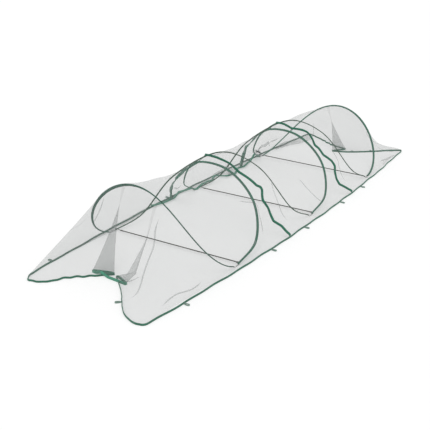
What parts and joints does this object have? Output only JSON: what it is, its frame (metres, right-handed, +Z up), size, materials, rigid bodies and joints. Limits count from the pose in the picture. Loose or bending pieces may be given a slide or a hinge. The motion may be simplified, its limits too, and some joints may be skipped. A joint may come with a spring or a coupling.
{
  "type": "pop-up greenhouse tunnel",
  "caption": "Low tunnel of fine net on a folding spring-wire frame of crossing hoops, with both ends closed down to a bound hem, to cover a row of plants.",
  "frame": {"origin": "on the ground at the middle of the whole tunnel, with the hems flat on the ground at z = 0", "axes": "+X along the tunnel to the end where the hoop leans back more, +Y to the far side, +Z up"},
  "size_m": [3.0202, 0.9556, 0.4335],
  "materials": {
    "net": "fine translucent net",
    "green_tape": "woven tape, dull green",
    "spring_steel": "dull spring wire",
    "cord": "dark elastic cord"
  },
  "bodies": {
    "ground_frame": {"cross_cord_front": "cord", "cross_cord_middle": "cord", "cross_cord_rear": "cord", "cord_knot_front": "cord", "cord_knot_middle": "cord", "cord_knot_rear": "cord", "cord_hook_front": "cord", "cord_hook_middle": "cord", "cord_hook_rear": "cord", "hem_near_side": "green_tape", "hem_far_side": "green_tape", "hem_front_end": "green_tape", "hem_rear_end": "green_tape", "seam_tape_front": "green_tape", "seam_tape_rear": "green_tape", "sleeve_low_front": "green_tape", "sleeve_high_front": "green_tape", "sleeve_low_rear": "green_tape", "sleeve_high_rear": "green_tape", "peg_loop_near_1": "green_tape", "peg_loop_near_2": "green_tape", "peg_loop_near_3": "green_tape", "peg_loop_near_4": "green_tape", "peg_loop_near_5": "green_tape", "peg_loop_far_1": "green_tape", "peg_loop_far_2": "green_tape", "peg_loop_front": "green_tape", "peg_loop_rear_1": "green_tape", "peg_loop_rear_2": "green_tape", "net_front_end": "net", "net_front_bay": "net", "net_middle": "net", "net_rear_bay": "net", "net_rear_end": "net", "wire_low_front": "spring_steel", "wire_long": "spring_steel", "wire_high_rear": "spring_steel", "wire_ferrule": "spring_steel"},
    "front_hoop": {"wire_front_hoop": "spring_steel", "sleeve_front_hoop": "green_tape"},
    "rear_hoop": {"wire_rear_hoop": "spring_steel", "sleeve_rear_hoop": "green_tape"}
  },
  "joints": [
    {"name": "front_hoop_swing", "type": "hinge", "parent": "ground_frame", "child": "front_hoop", "pos_m": [-0.8, 0, 0.0043], "axis": [0, 1, 0], "range_deg": [0, 45], "deforming": ["net_front_end", "net_front_bay"]},
    {"name": "rear_hoop_swing", "type": "hinge", "parent": "ground_frame", "child": "rear_hoop", "pos_m": [0.8, 0, 0.0043], "axis": [0, -1, 0], "range_deg": [0, 60], "deforming": ["net_rear_bay", "net_rear_end"]}
  ]
}
